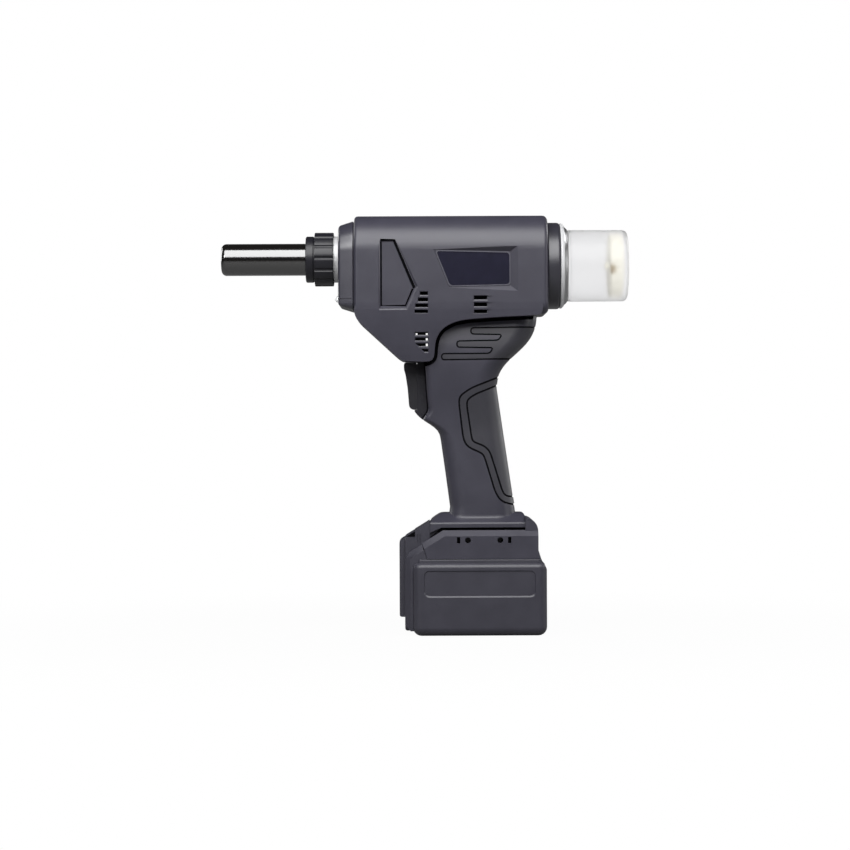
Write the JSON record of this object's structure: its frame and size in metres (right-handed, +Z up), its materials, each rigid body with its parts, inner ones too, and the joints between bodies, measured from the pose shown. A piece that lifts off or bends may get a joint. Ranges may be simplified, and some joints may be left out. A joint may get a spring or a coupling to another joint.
{
  "type": "battery rivet tool",
  "caption": "Pistol-grip battery rivet tool with a long nose tube, a clear mandrel container behind the head and a slide-on battery under the grip.",
  "frame": {"origin": "middle of the box that holds the tool, on the surface that its battery stands on", "axes": "+Z up, -X along the nose, +Y to the tool's right as its user holds it"},
  "size_m": [0.306, 0.076, 0.3138],
  "materials": {
    "housing_plastic": "fine moulded grain",
    "soft_rubber": "matt overmoulded rubber",
    "plate_film": "dark satin film",
    "lamp_lens": "clear moulded lens",
    "cast_aluminium": "turned and polished",
    "ring_chrome": "polished",
    "black_metal": "black anodised, polished",
    "cap_metal": "satin black anodised",
    "screw_steel": "blackened",
    "tool_steel": "machined",
    "spring_steel": "bright drawn wire",
    "inner_plastic": "moulded",
    "circuit_board": "solder mask",
    "frosted_plastic": "frosted translucent",
    "cream_rubber": "soft foam",
    "battery_plastic": "fine moulded grain",
    "cell_can": "shrink film"
  },
  "bodies": {
    "body": {"housing_left": "housing_plastic", "housing_right": "housing_plastic", "housing_screws": "screw_steel", "grip_pad": "soft_rubber", "web_pad": "soft_rubber", "front_bezel": "housing_plastic", "name_plates": "plate_film", "led_lamp": "lamp_lens", "front_flange": "cast_aluminium", "gear_case": "cast_aluminium", "gear_case_screws": "screw_steel", "nose_housing": "black_metal", "nose_piece": "tool_steel", "thrust_race": "tool_steel", "bearing_outer": "tool_steel", "guide_rail": "inner_plastic", "mandrel_tube": "tool_steel", "ring_gear": "tool_steel", "motor_can": "tool_steel", "motor_end_bell": "inner_plastic", "rear_cap": "cap_metal", "container_ring": "ring_chrome", "trigger_switch": "inner_plastic", "trigger_spring": "spring_steel", "controller_board": "circuit_board", "terminal_block": "inner_plastic", "wiring": "inner_plastic"},
    "lock_ring": {"lock_ring": "black_metal"},
    "rotor": {"rotor": "tool_steel", "fan": "inner_plastic", "sun_gear": "tool_steel"},
    "carrier": {"planet_carrier": "tool_steel", "pinion": "tool_steel"},
    "planet_1": {"planet_1": "tool_steel"},
    "planet_2": {"planet_2": "tool_steel"},
    "planet_3": {"planet_3": "tool_steel"},
    "nut": {"ball_nut": "tool_steel", "nut_gear": "tool_steel", "bearing_inner": "tool_steel"},
    "puller": {"spindle": "tool_steel", "jaw_coupling": "tool_steel", "jaw_case": "tool_steel", "guide_block": "tool_steel", "jaw_spring": "spring_steel"},
    "pusher": {"jaw_pusher": "tool_steel"},
    "jaw_1": {"jaw_1": "tool_steel"},
    "jaw_2": {"jaw_2": "tool_steel"},
    "jaw_3": {"jaw_3": "tool_steel"},
    "trigger": {"trigger": "housing_plastic", "trigger_pad": "soft_rubber"},
    "container": {"container": "frosted_plastic", "container_seal": "soft_rubber", "container_bumper": "cream_rubber"},
    "battery": {"battery_tub": "battery_plastic", "battery_top": "battery_plastic", "cells": "cell_can", "cell_holder": "inner_plastic", "battery_board": "circuit_board", "latch_spring": "spring_steel"},
    "latch": {"latch_button": "battery_plastic"}
  },
  "joints": [
    {"name": "motor_spin", "type": "hinge", "parent": "body", "child": "rotor", "pos_m": [0.04, 0, 0.25321], "axis": [1, 0, 0], "range_deg": [0, 37126]},
    {"name": "carrier_spin", "type": "hinge", "parent": "body", "child": "carrier", "pos_m": [-0.002, 0, 0.25321], "axis": [1, 0, 0], "range_deg": [0, 6751]},
    {"name": "planet_1_spin", "type": "hinge", "parent": "carrier", "child": "planet_1", "pos_m": [0.006, 0.00907, 0.25321], "axis": [1, 0, 0], "range_deg": [-17359, 0]},
    {"name": "planet_2_spin", "type": "hinge", "parent": "carrier", "child": "planet_2", "pos_m": [0.006, -0.00454, 0.26106], "axis": [1, 0, 0], "range_deg": [-17359, 0]},
    {"name": "planet_3_spin", "type": "hinge", "parent": "carrier", "child": "planet_3", "pos_m": [0.006, -0.00454, 0.24535], "axis": [1, 0, 0], "range_deg": [-17359, 0]},
    {"name": "nut_spin", "type": "hinge", "parent": "body", "child": "nut", "pos_m": [-0.03, 0, 0.282], "axis": [1, 0, 0], "range_deg": [-2251, 0]},
    {"name": "stroke", "type": "slide", "parent": "body", "child": "puller", "axis": [1, 0, 0], "range_m": [0, 0.025]},
    {"name": "jaw_open", "type": "slide", "parent": "puller", "child": "pusher", "axis": [1, 0, 0], "range_m": [0, 0.0015], "stiffness_N_per_m": 1500, "deforming": ["jaw_spring"]},
    {"name": "jaw_1_slide", "type": "slide", "parent": "puller", "child": "jaw_1", "axis": [0.9889, 0.1483, 0], "range_m": [0, 0.00153]},
    {"name": "jaw_2_slide", "type": "slide", "parent": "puller", "child": "jaw_2", "axis": [0.9889, -0.0742, 0.1285], "range_m": [0, 0.00153]},
    {"name": "jaw_3_slide", "type": "slide", "parent": "puller", "child": "jaw_3", "axis": [0.9889, -0.0742, -0.1285], "range_m": [0, 0.00153]},
    {"name": "trigger_pull", "type": "slide", "parent": "body", "child": "trigger", "axis": [1, 0, 0], "range_m": [0, 0.006], "stiffness_N_per_m": 1000, "deforming": ["trigger_spring"]},
    {"name": "lock_ring_turn", "type": "hinge", "parent": "body", "child": "lock_ring", "pos_m": [-0.078, 0, 0.282], "axis": [1, 0, 0], "continuous": true},
    {"name": "container_pull", "type": "slide", "parent": "body", "child": "container", "axis": [1, 0, 0], "range_m": [0, 0.06]},
    {"name": "battery_slide", "type": "slide", "parent": "body", "child": "battery", "axis": [-1, 0, 0], "range_m": [0, 0.095]},
    {"name": "latch_press", "type": "slide", "parent": "battery", "child": "latch", "axis": [0, 0, -1], "range_m": [0, 0.004], "stiffness_N_per_m": 1200, "deforming": ["latch_spring"]}
  ],
  "couplings": [
    {"joint": "motor_spin", "follows": "stroke", "rad_per_m": 25918},
    {"joint": "carrier_spin", "follows": "stroke", "rad_per_m": 4712.4},
    {"joint": "nut_spin", "follows": "stroke", "rad_per_m": -1570.8},
    {"joint": "planet_1_spin", "follows": "stroke", "rad_per_m": -12118},
    {"joint": "planet_2_spin", "follows": "stroke", "rad_per_m": -12118},
    {"joint": "planet_3_spin", "follows": "stroke", "rad_per_m": -12118},
    {"joint": "jaw_1_slide", "follows": "jaw_open", "ratio": 1.0112},
    {"joint": "jaw_2_slide", "follows": "jaw_open", "ratio": 1.0112},
    {"joint": "jaw_3_slide", "follows": "jaw_open", "ratio": 1.0112}
  ]
}
